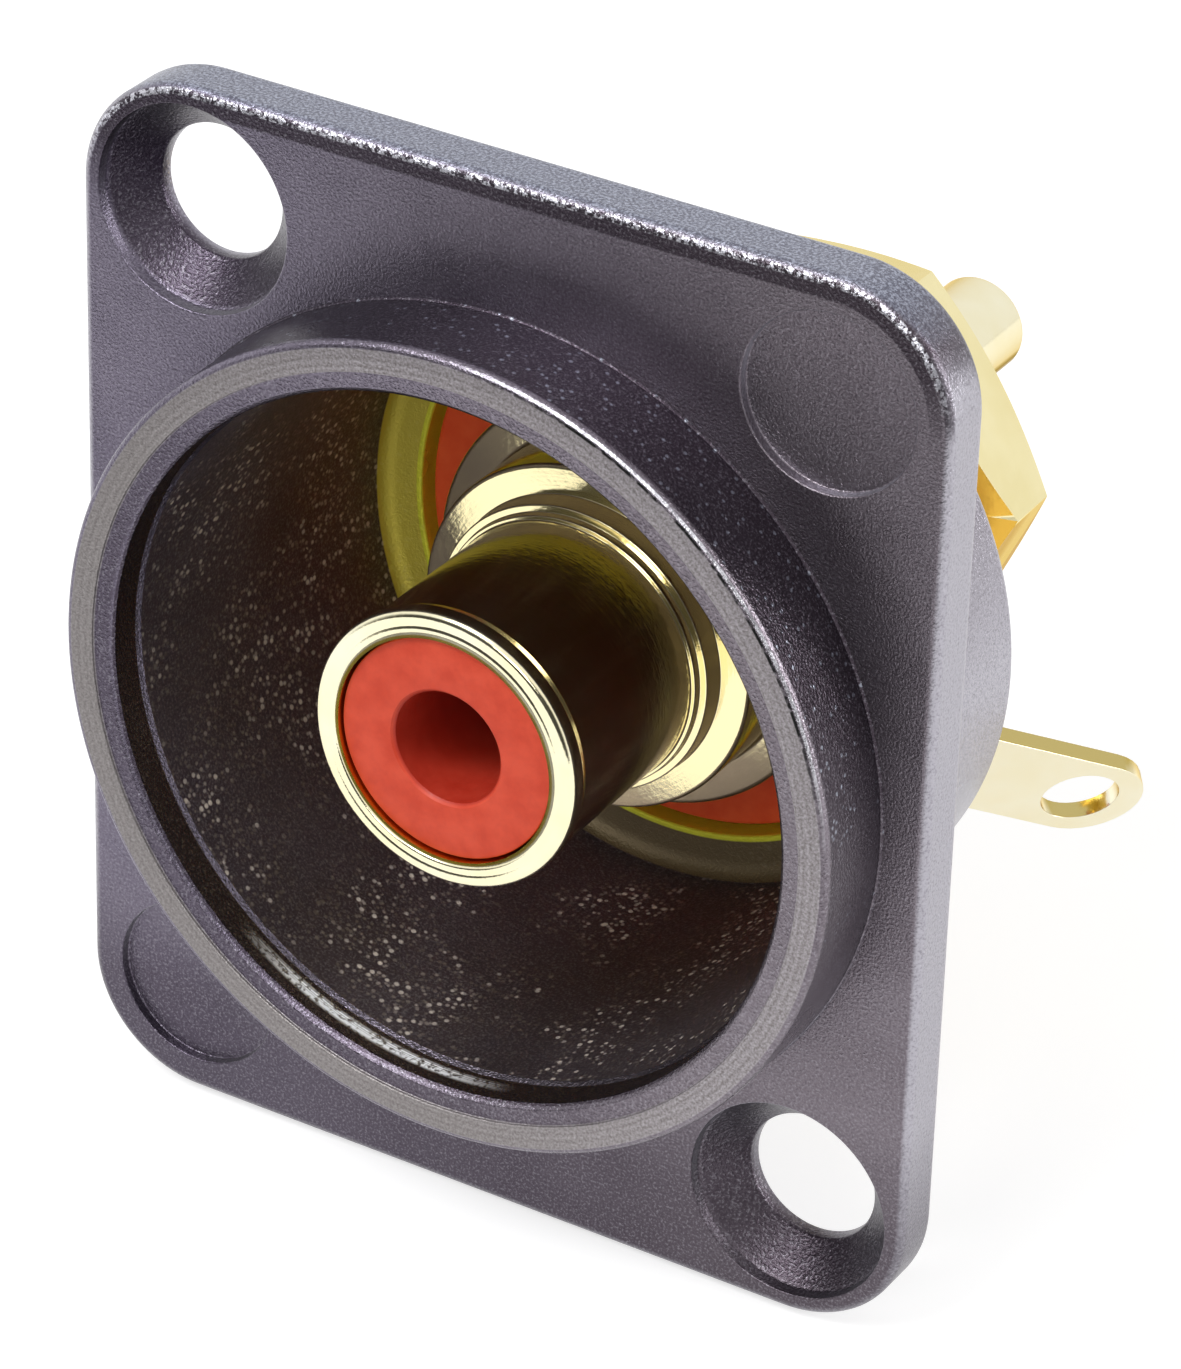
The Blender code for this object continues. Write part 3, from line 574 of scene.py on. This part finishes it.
class Nodes:
    """Builds the nodes of one procedural material, or of the world."""

    def __init__(self, owner, coordinates="Object"):
        owner.use_nodes = True
        self.owner = owner
        self.tree = owner.node_tree
        self.place = self.tree.nodes.new("ShaderNodeTexCoord").outputs[coordinates]

    def put(self, socket, value):
        if isinstance(value, bpy.types.NodeSocket):
            self.tree.links.new(value, socket)
        elif isinstance(value, tuple):
            socket.default_value = (*value, 1.0)
        else:
            socket.default_value = value

    def math(self, operation, a, b=0.0):
        node = self.tree.nodes.new("ShaderNodeMath")
        node.operation = operation
        self.put(node.inputs[0], a)
        self.put(node.inputs[1], b)
        return node.outputs[0]

    def product(self, value, *others):
        for other in others:
            value = self.math("MULTIPLY", value, other)
        return value

    def largest(self, value, *others):
        for other in others:
            value = self.math("MAXIMUM", value, other)
        return value

    def noise(self, scale, detail=3.0, rough=0.55, vector=None):
        node = self.tree.nodes.new("ShaderNodeTexNoise")
        self.put(node.inputs["Vector"], vector or self.place)
        self.put(node.inputs["Scale"], scale)
        self.put(node.inputs["Detail"], detail)
        self.put(node.inputs["Roughness"], rough)
        return node.outputs["Fac"]

    def dots(self, scale, size, share):
        """Round dots, one in a share of the cells."""
        node = self.tree.nodes.new("ShaderNodeTexVoronoi")
        self.put(node.inputs["Vector"], self.place)
        self.put(node.inputs["Scale"], scale)
        pick = self.tree.nodes.new("ShaderNodeSeparateColor")
        self.put(pick.inputs[0], node.outputs["Color"])
        near = self.span(node.outputs["Distance"], size * 0.5, size, 1.0, 0.0)
        return self.product(near, self.span(pick.outputs[0], 1.0 - share, 1.02 - share))

    def span(self, value, low, high, start=0.0, end=1.0):
        """start up to low, end from high on, and a straight change between them."""
        node = self.tree.nodes.new("ShaderNodeMapRange")
        self.put(node.inputs["Value"], value)
        for name, number in (("From Min", low), ("From Max", high), ("To Min", start), ("To Max", end)):
            node.inputs[name].default_value = number
        return node.outputs["Result"]

    def between(self, value, low, high, soft=0.04):
        """1 from low to high, and 0 beyond a soft border."""
        return self.product(self.span(value, low - soft, low), self.span(value, high, high + soft, 1.0, 0.0))

    def mix(self, factor, a, b):
        node = self.tree.nodes.new("ShaderNodeMix")
        node.data_type = "RGBA"
        self.put(node.inputs["Factor"], factor)
        self.put(node.inputs[6], a)
        self.put(node.inputs[7], b)
        return node.outputs[2]

    def split(self):
        node = self.tree.nodes.new("ShaderNodeSeparateXYZ")
        self.put(node.inputs[0], self.place)
        return node.outputs

    def position(self):
        """x, y and z in millimetres. y is the depth."""
        return [self.math("MULTIPLY", value, 1 / MM) for value in self.split()]

    def length(self, a, b):
        return self.math("SQRT", self.math("ADD", self.product(a, a), self.product(b, b)))

    def towards(self, a, b, share_a, share_b):
        """How far a point lies in a direction, from its two coordinates and the direction's share of each."""
        return self.math("ADD", self.product(a, share_a), self.product(b, share_b))

    def facing(self, axis):
        """How far the surface faces along an axis, from -1 to 1."""
        node = self.tree.nodes.new("ShaderNodeSeparateXYZ")
        self.put(node.inputs[0], self.tree.nodes.new("ShaderNodeTexCoord").outputs["Normal"])
        return node.outputs[axis]

    def along(self, value, scale):
        """Fine lines that follow one value, as a tool leaves them on turned work."""
        line = self.tree.nodes.new("ShaderNodeCombineXYZ")
        self.put(line.inputs[0], self.product(value, scale))
        return self.noise(1.0, 2.0, 0.6, line.outputs[0])

    def grazing(self, low, high):
        """0 where the surface faces the view, 1 where it is seen from low down."""
        node = self.tree.nodes.new("ShaderNodeLayerWeight")
        node.inputs["Blend"].default_value = 0.5
        return self.span(node.outputs["Facing"], low, high)

    def bump(self, height, distance, strength, under=None):
        node = self.tree.nodes.new("ShaderNodeBump")
        self.put(node.inputs["Height"], height)
        self.put(node.inputs["Distance"], distance)
        self.put(node.inputs["Strength"], strength)
        if under is not None:
            self.put(node.inputs["Normal"], under)
        return node.outputs["Normal"]

    def finish(self, colour, roughness, normal, metallic=0.0, **constants):
        shader = self.tree.nodes["Principled BSDF"]
        self.put(shader.inputs["Base Color"], colour)
        self.put(shader.inputs["Roughness"], roughness)
        self.put(shader.inputs["Normal"], normal)
        self.put(shader.inputs["Metallic"], metallic)
        for key, value in constants.items():
            shader.inputs[key.replace("_", " ")].default_value = value
        return self.owner


# The colour of painted sheen, then the colour of painted shade and of the dark grain
PAINTED_SHEEN_COLOUR = (0.40, 0.385, 0.43)
BLACK = (0.03, 0.02, 0.03)
LACQUER_METALLIC = 0.92

# Heights of the fine relief, in metres
GRAIN_HEIGHT = 0.03 * MM
RING_HEIGHT = 0.01 * MM
FINE_HEIGHT = 0.008 * MM


def lacquer(s, x, sheen, shade):
    """The colour of black lacquer with a violet cast and a fine grain, and the two noises that it is made of.

    sheen says how much painted sheen and shade how much painted shade the lacquer has at each place.
    """
    broad = s.noise(260.0, 3.0)
    grain = s.noise(13000.0, 2.0, 0.6)
    tone = s.span(broad, 0.35, 0.65)
    left = s.mix(tone, (0.160, 0.141, 0.190), (0.208, 0.184, 0.242))
    right = s.mix(tone, (0.165, 0.142, 0.164), (0.210, 0.184, 0.210))
    colour = s.mix(s.span(x, -8.0, 8.0), left, right)
    # Painted sheen, then painted shade
    colour = s.mix(sheen, colour, PAINTED_SHEEN_COLOUR)
    colour = s.mix(shade, colour, BLACK)
    colour = s.mix(s.span(grain, 0.30, 0.50, 0.35, 0.0), colour, BLACK)
    return s.mix(s.span(grain, 0.52, 0.72, 0.0, 0.26), colour, (0.56, 0.54, 0.60)), broad, grain


def flange_lacquer():
    """Lacquer with painted shade low down, at the upper right corner, in the countersinks and under the upper
    edge, painted sheen at the right, and painted highlights along the upper edge.

    Each screw hole is at the centre of its corner's rounding, so the distances from the hole and to the
    flange's outline are measured from the same point.
    """
    s = Nodes(bpy.data.materials.new("black_lacquer"))
    x, depth, z = s.position()
    across = s.math("SUBTRACT", s.math("ABSOLUTE", x), HOLE_X)
    up = s.math("SUBTRACT", s.math("ABSOLUTE", z), HOLE_Z)
    outward = s.length(s.math("MAXIMUM", across, 0.0), s.math("MAXIMUM", up, 0.0))
    edge_start = FLANGE_CORNER - FLANGE_FRONT_EDGE
    on_edge = s.span(outward, edge_start, edge_start + 0.06)
    on_face = s.span(depth, FLANGE_FRONT + 0.25, FLANGE_FRONT + 0.45, 1.0, 0.0)

    # Painted sheen: paler where the surface is seen at a low angle, and on the right side and its rounded
    # edge
    right_sheen = s.product(
        s.span(x, FLANGE_HALF_WIDTH - 0.8, FLANGE_HALF_WIDTH - 0.4), s.span(s.facing(0), 0.25, 0.60)
    )
    sheen = s.largest(s.grazing(0.30, 0.60), right_sheen)

    # Painted shade: towards the lower edge, at the upper right corner, in the countersinks and in a band
    # under the upper edge
    low_shade = s.span(z, -12.5, -8.5, 0.58, 0.0)
    corner = s.product(s.between(s.facing(0), 0.34, 0.88, 0.08), s.span(z, 11.8, 12.4, 0.0, 0.70), on_edge)
    has_hole = s.span(s.product(x, z), -20.0, -10.0, 1.0, 0.0)
    before_rear = s.span(depth, -0.3, -0.1, 1.0, 0.0)
    in_cone = s.span(s.length(across, up), COUNTERSINK - 0.10, COUNTERSINK, 0.72, 0.0)
    countersink_shade = s.product(in_cone, has_hole, before_rear)
    band = s.between(outward, edge_start - 0.32, edge_start, 0.06)
    shade_under_edge = s.product(band, on_face, s.span(z, 11.5, 13.5, 0.0, 0.80))
    shade = s.largest(low_shade, corner, countersink_shade, shade_under_edge)
    colour, broad, grain = lacquer(s, x, sheen, shade)

    # Painted highlights: glitter on the upper edge's rounding and the top face, and a bright line of sparkles
    # along the upper edge
    glitter = s.span(s.noise(12000.0, 3.0, 0.7), 0.44, 0.62)
    glitter_colour = s.mix(glitter, (0.13, 0.135, 0.18), (0.46, 0.49, 0.60))
    colour = s.mix(s.product(on_edge, s.span(s.facing(2), 0.60, 0.95, 0.0, 0.85)), colour, glitter_colour)
    sparkle = s.span(s.noise(8000.0, 2.0, 0.7), 0.45, 0.56)
    sparkle_colour = s.mix(sparkle, (0.05, 0.04, 0.05), (0.86, 0.86, 0.94))
    line = s.between(outward, edge_start + 0.04, edge_start + 0.18, 0.03)
    line = s.product(line, s.span(z, 12.2, 14.2), on_face, 0.8)
    colour = s.mix(line, colour, sparkle_colour)
    rough = s.span(broad, 0.3, 0.7, 0.26, 0.34)
    return s.finish(colour, rough, s.bump(grain, GRAIN_HEIGHT, 0.9), LACQUER_METALLIC)


def cup_lacquer():
    """Lacquer with a worn rim, specks in the cup and an olive cast on the cup's floor, with painted shade on
    the collar, in the mouth, in the cup and on the rim's step, painted sheen behind the flange and low on the
    collar, and painted highlights on the rim's edge, in the mouth and at the recess edge.
    """
    s = Nodes(bpy.data.materials.new("cup_lacquer"))
    x, depth, z = s.position()
    radius = s.length(x, z)
    right = s.span(s.towards(x, z, 1.0, 0.6), -6.0, 4.0)
    upper_left_lit = s.span(s.towards(x, z, -1.0, 1.0), -4.0, 6.0)
    front = s.span(depth, RIM_FRONT + 0.12, RIM_FRONT + 0.20, 1.0, 0.0)

    # Painted sheen on the body behind the flange and low on the collar; painted shade high on the collar, in
    # the mouth, on the cup's wall and on the rim's step away from the right
    behind = s.product(s.span(radius, MOUTH + 0.05, MOUTH + 0.15), s.span(depth, -1.0, -0.9))
    collar = s.product(
        s.between(radius, COLLAR - 0.10, COLLAR + 0.30),
        s.between(depth, RIM_FRONT + 0.25, FLANGE_FRONT + 0.05),
    )
    collar_shade = s.product(collar, s.span(z, -4.0, 2.0, 0.10, 0.80))
    lower_collar_sheen = s.product(collar, s.span(z, -7.0, -4.0, 0.35, 0.0))
    mouth = s.product(
        s.span(radius, MOUTH + 0.05, MOUTH + 0.20, 1.0, 0.0),
        s.between(depth, RIM_FRONT + 0.20, MOUTH_BAND_REAR - 0.10),
    )
    cup = s.product(
        s.span(radius, CUP + 0.03, CUP + 0.08, 1.0, 0.0),
        s.between(depth, MOUTH_BAND_REAR + 0.15, FLOOR + 0.03),
    )
    step_shade = s.product(s.between(radius, CUP + 0.03, LAND - 0.03), front, s.span(right, 0.0, 1.0, 0.50, 0.0))
    shade = s.largest(collar_shade, s.product(mouth, 0.75), s.product(cup, 0.45), step_shade)
    sheen = s.largest(s.product(s.grazing(0.30, 0.60), behind), lower_collar_sheen)
    colour, broad, grain = lacquer(s, x, sheen, shade)

    # The rim: turning lines, and at the upper right a painted shade line and a painted highlight line near
    # the outer edge, in patches
    rings = s.along(radius, 9.0)
    worn = s.product(s.between(radius, LAND, COLLAR - 0.20), front)
    wear = s.span(s.math("ADD", grain, s.product(rings, 0.5)), 0.55, 1.05)
    # Wear on the rim, with painted light: paler towards the right and darker towards the lower left
    light = s.mix(right, (0.37, 0.35, 0.345), (0.49, 0.46, 0.49))
    colour = s.mix(worn, colour, s.mix(wear, (0.20, 0.18, 0.18), light))
    patches = s.span(s.noise(2600.0, 2.0), 0.40, 0.52)
    upper_right = s.product(s.span(s.towards(x, z, 0.68, 0.73), 8.6, 10.4), front)
    # A painted shade line, then a painted highlight line, on the rim's outer rounding
    edge_shade_line = s.product(s.between(radius, COLLAR - 0.20, COLLAR - 0.14, 0.02), upper_right)
    colour = s.mix(s.product(edge_shade_line, patches), colour, (0.02, 0.02, 0.02))
    edge_highlight = s.product(s.between(radius, COLLAR - 0.10, COLLAR - 0.05, 0.015), upper_right)
    colour = s.mix(s.product(edge_highlight, s.span(patches, 0.0, 1.0, 0.25, 0.6)), colour, (0.90, 0.90, 0.96))

    # The mouth: a painted highlight streak at the lower left
    highlight_streak = s.product(
        s.between(depth, MOUTH_BAND_REAR - 0.55, MOUTH_BAND_REAR - 0.31, 0.12),
        s.span(radius, MOUTH + 0.05, MOUTH + 0.10, 1.0, 0.0),
        s.span(s.towards(x, z, -0.24, -0.97), 9.2, 10.0),
        s.span(s.along(depth, 13.0), 0.38, 0.50, 0.35, 1.0),
        s.span(s.noise(6500.0, 2.0), 0.36, 0.50, 0.25, 1.0),
    )
    colour = s.mix(highlight_streak, colour, (0.92, 0.95, 1.0))

    # Specks in the cup, and painted glints on the collar
    clusters = s.product(s.span(s.noise(300.0, 2.0), 0.42, 0.62), cup)
    faint = s.product(s.dots(5600.0, 0.45, 0.60), 0.45)
    specks = s.product(s.largest(s.dots(3900.0, 0.38, 0.50), faint), clusters)
    colour = s.mix(specks, colour, (0.60, 0.53, 0.46))
    collar_glints = s.product(s.dots(5600.0, 0.40, 0.20), collar_shade)
    colour = s.mix(collar_glints, colour, (0.34, 0.36, 0.42))

    # The floor of the cup and the recess in it: an olive cast, with painted light that makes it paler and
    # yellower towards the upper left
    on_floor = s.product(
        s.between(depth, FLOOR - 0.35, FLOOR + 0.05, 0.05),
        s.span(radius, FLOOR_RADIUS + 0.05, FLOOR_RADIUS + 0.15, 1.0, 0.0),
    )
    in_recess = s.product(
        s.between(depth, FLOOR, RECESS + 0.02),
        s.span(radius, RECESS_RADIUS + 0.15, RECESS_RADIUS + 0.20, 1.0, 0.0),
    )
    floor = s.largest(on_floor, in_recess)
    # A painted highlight: a yellow line at the recess's edge
    recess_edge_highlight = s.product(s.between(radius, RECESS_RADIUS - 0.10, RECESS_RADIUS + 0.15), floor)
    colour = s.mix(floor, colour, s.mix(upper_left_lit, (0.16, 0.12, 0.06), (0.66, 0.55, 0.07)))
    colour = s.mix(recess_edge_highlight, colour, (0.80, 0.80, 0.05))

    matt = s.largest(s.span(specks, 0.15, 0.45), highlight_streak)
    metallic = s.product(s.span(floor, 0.0, 1.0, LACQUER_METALLIC, 0.45), s.math("SUBTRACT", 1.0, matt))
    rough = s.math("ADD", s.span(broad, 0.3, 0.7, 0.22, 0.30), s.product(s.largest(worn, cup), 0.22))
    normal = s.bump(grain, GRAIN_HEIGHT, 0.9)
    normal = s.bump(s.product(rings, worn), RING_HEIGHT, 0.7, normal)
    return s.finish(colour, rough, normal, metallic)


EDGE_TINT = (0.80, 0.62, 0.30, 1.0)


def gold(name, light, dark, scales, rough, deep=None):
    """Gold plating with turning lines. The last argument adds painted shade, a deeper tone where the surface
    faces a range of heights.
    """
    s = Nodes(bpy.data.materials.new(name))
    x, depth, z = s.position()
    radius_lines = s.along(s.length(x, z), scales[0])
    turning = s.product(s.math("ADD", radius_lines, s.along(depth, scales[1])), 0.5)
    broad = s.noise(420.0, 3.0)
    fine = s.noise(4200.0, 2.0)
    colour = s.mix(s.span(broad, 0.3, 0.7), dark, light)
    # Painted shade: a deeper tone on the surfaces that face a range of heights
    if deep:
        tone, start, end = deep
        colour = s.mix(s.span(s.facing(2), start, end), colour, tone)
    polish = s.math("ADD", s.span(turning, 0.35, 0.65, *rough), s.span(broad, 0.3, 0.7, -0.02, 0.04))
    normal = s.bump(fine, FINE_HEIGHT, 0.6, s.bump(turning, FINE_HEIGHT, 0.6))
    return s, colour, polish, normal


def plain_gold(name, **looks):
    s, colour, polish, normal = gold(name, **looks)
    return s.finish(colour, polish, normal, 1.0, Specular_Tint=EDGE_TINT)


def nut_gold():
    """The nut's gold, with a painted warm reflection on the front face that looks at the housing's back, and
    painted shade on the faces that look down.
    """
    s, colour, polish, normal = gold(
        "nut_gold",
        light=(0.89, 0.81, 0.50),
        dark=(0.84, 0.74, 0.40),
        scales=(5.0, 2.0),
        rough=(0.10, 0.20),
        deep=((0.66, 0.46, 0.10), -0.10, -0.30),
    )
    # Painted reflection: warmer and less metallic on the front face
    front = s.span(s.facing(1), -0.75, -0.55, 1.0, 0.0)
    colour = s.mix(front, colour, (0.95, 0.58, 0.08))
    return s.finish(colour, polish, normal, s.span(front, 0.0, 1.0, 1.0, 0.3), Specular_Tint=EDGE_TINT)


def sleeve_gold():
    """The sleeve's gold, with painted shade inside the lip and a deeper painted tone for the shade of the cup
    on the steps.
    """
    s, colour, polish, normal = gold(
        "sleeve_gold",
        light=(0.95, 0.90, 0.66),
        dark=(0.90, 0.82, 0.52),
        scales=(9.0, 7.0),
        rough=(0.08, 0.16),
    )
    x, depth, z = s.position()
    # Painted shade: a deeper tone on the steps in the cup, and darker inside the lip
    steps = s.between(depth, TUBE_REAR - 0.65, CLAMP_REAR - 0.10, 0.5)
    inside = s.between(s.length(x, z), SLEEVE_BORE - 0.25, SLEEVE_BORE + 0.07)
    colour = s.mix(steps, colour, (0.97, 0.86, 0.50))
    colour = s.mix(inside, colour, (0.60, 0.44, 0.06))
    return s.finish(colour, polish, normal, 1.0)


def red_plastic(name, light, dark, bore=0.0):
    """Moulded red plastic, faintly mottled, with painted shade in a hole of the radius bore, in millimetres.
    """
    s = Nodes(bpy.data.materials.new(name))
    x, _, z = s.position()
    broad = s.noise(1500.0, 4.0, 0.6)
    fine = s.noise(6000.0, 3.0, 0.6)
    colour = s.mix(s.span(broad, 0.35, 0.65), dark, light)
    # Painted shade in the hole
    colour = s.mix(s.span(s.length(x, z), bore + 0.02, bore + 0.06, 0.5, 0.0), colour, (0.34, 0.010, 0.008))
    rough = s.span(fine, 0.3, 0.7, 0.36, 0.54)
    return s.finish(colour, rough, s.bump(fine, FINE_HEIGHT, 0.6), Specular_IOR_Level=0.35)


def dress(item, node, material):
    item.data.materials.clear()
    item.data.materials.append(material)
    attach(item, "root")
    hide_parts(node)


washer_red = red_plastic("washer_red", (0.95, 0.12, 0.03), (0.88, 0.09, 0.02))
core_red = red_plastic("core_red_plastic", (0.76, 0.086, 0.040), (0.65, 0.056, 0.022), PIN_HOLE)
contact_gold = plain_gold(
    "contact_gold",
    light=(0.89, 0.85, 0.66),
    dark=(0.85, 0.79, 0.54),
    scales=(6.0, 6.0),
    rough=(0.08, 0.16),
    deep=((0.16, 0.11, 0.02), -0.25, -0.40),
)
lug_gold = plain_gold(
    "lug_gold",
    light=(0.95, 0.92, 0.76),
    dark=(0.91, 0.86, 0.64),
    scales=(1.5, 0.5),
    rough=(0.14, 0.24),
    deep=((0.54, 0.44, 0.17), 0.50, 0.70),
)

dress(housing_ring(), "housing", cup_lacquer())
dress(flange(), "housing", flange_lacquer())
dress(jack_sleeve(), "jack_sleeve", sleeve_gold())
dress(core(), "core_insulator", core_red)
dress(front_washer(), "front_insulating_washer", washer_red)
dress(rear_washer(), "rear_insulating_washer", washer_red)
dress(nut(), "hex_nut", nut_gold())
dress(contact(), "centre_contact", contact_gold)
dress(lug(), "solder_lug", lug_gold)


# Stage, light and camera

# The white ground, in metres
GROUND_HALF_SIZE = 1.2
GROUND_FRONT = -0.055
GROUND_GAP = 0.0002

# The camera, in degrees and millimetres
CAMERA_ANGLES = (30.406, 30.624, 1.813)
CAMERA_TARGET = (2.261, -0.35, 0.62)
CAMERA_DISTANCE = 167.10
CAMERA_LENS = 167.36


def seen_strength(s, hidden, shown):
    """shown for what the camera, a mirror or glass sees, hidden for the light on a matt surface."""
    rays = s.tree.nodes.new("ShaderNodeLightPath").outputs
    seen = s.largest(rays["Is Camera Ray"], rays["Is Glossy Ray"], rays["Is Transmission Ray"])
    return s.span(seen, 0.0, 1.0, hidden, shown)


def world():
    """A white room. What mirrors in the metal is dark behind and below the camera."""
    made = bpy.data.worlds.new("studio")
    bpy.context.scene.world = made
    s = Nodes(made, "Generated")
    _, y, z = s.split()
    camera_ray = s.tree.nodes.new("ShaderNodeLightPath").outputs["Is Camera Ray"]
    dark = s.product(
        s.span(y, -0.75, -0.45, 1.0, 0.0),
        s.span(z, 0.30, 0.50, 1.0, 0.0),
        s.math("SUBTRACT", 1.0, camera_ray),
    )
    background = s.tree.nodes["Background"]
    s.put(background.inputs["Color"], s.mix(dark, (1.0, 1.0, 1.0), (0.06, 0.06, 0.06)))
    s.put(background.inputs["Strength"], seen_strength(s, 0.5, 1.0))


def ground():
    bm = bmesh.new()
    bmesh.ops.create_grid(bm, x_segments=1, y_segments=1, size=GROUND_HALF_SIZE)
    bmesh.ops.translate(bm, vec=(0.0, GROUND_FRONT + GROUND_HALF_SIZE, 0.0), verts=bm.verts)
    mesh = bpy.data.meshes.new("floor")
    bm.to_mesh(mesh)
    bm.free()
    item = link("floor", mesh)
    item.location = (0.0, 0.0, cad_low.z - GROUND_GAP)
    s = Nodes(bpy.data.materials.new("floor_white"))
    shader = s.tree.nodes["Principled BSDF"]
    tone = s.mix(s.noise(60.0), (0.50, 0.50, 0.50), (0.52, 0.52, 0.52))
    s.put(shader.inputs["Base Color"], tone)
    s.put(shader.inputs["Roughness"], 0.9)
    s.put(shader.inputs["Specular IOR Level"], 0.0)
    s.put(shader.inputs["Emission Color"], (1.0, 1.0, 1.0))
    s.put(shader.inputs["Emission Strength"], seen_strength(s, 0.0, 0.66))
    item.data.materials.append(s.owner)


def lamp(name, place, size, power):
    """A soft rectangular lamp, aimed at the socket. Its place and size are in millimetres."""
    data = bpy.data.lights.new(name, "AREA")
    data.shape = "RECTANGLE"
    data.size, data.size_y = (side * MM for side in size)
    data.energy = power
    item = bpy.data.objects.new(name, data)
    bpy.context.scene.collection.objects.link(item)
    item.location = Vector(place) * MM
    item.rotation_euler = (-item.location).to_track_quat("-Z", "Y").to_euler()


def camera():
    """The photograph's camera, as a fit to the flange's corners, the screw holes and the collar gives it."""
    azimuth, elevation, roll = (math.radians(angle) for angle in CAMERA_ANGLES)
    back = Vector(
        (
            math.sin(azimuth) * math.cos(elevation),
            -math.cos(azimuth) * math.cos(elevation),
            math.sin(elevation),
        )
    )
    right = Vector((0, 0, 1)).cross(back).normalized()
    up = back.cross(right)
    turn = Matrix.Rotation(roll, 3, back)
    data = bpy.data.cameras.new("camera")
    data.lens = CAMERA_LENS
    data.sensor_width = 36.0
    data.shift_x = -0.0041
    data.shift_y = 0.0054
    data.clip_start = 0.01
    data.clip_end = 10.0
    item = bpy.data.objects.new("camera", data)
    bpy.context.scene.collection.objects.link(item)
    axes = Matrix((turn @ right, turn @ up, back)).transposed().to_4x4()
    place = (Vector(CAMERA_TARGET) + back * CAMERA_DISTANCE) * MM
    item.matrix_world = Matrix.Translation(place) @ axes
    bpy.context.scene.camera = item


world()
ground()
lamp("front", (-95, -250, 335), (180, 180), 1.0)
lamp("fill", (20, -250, 80), (80, 80), 0.14)
lamp("side", (420, 120, 160), (240, 240), 1.2)
camera()

bpy.context.scene.view_settings.view_transform = "Standard"
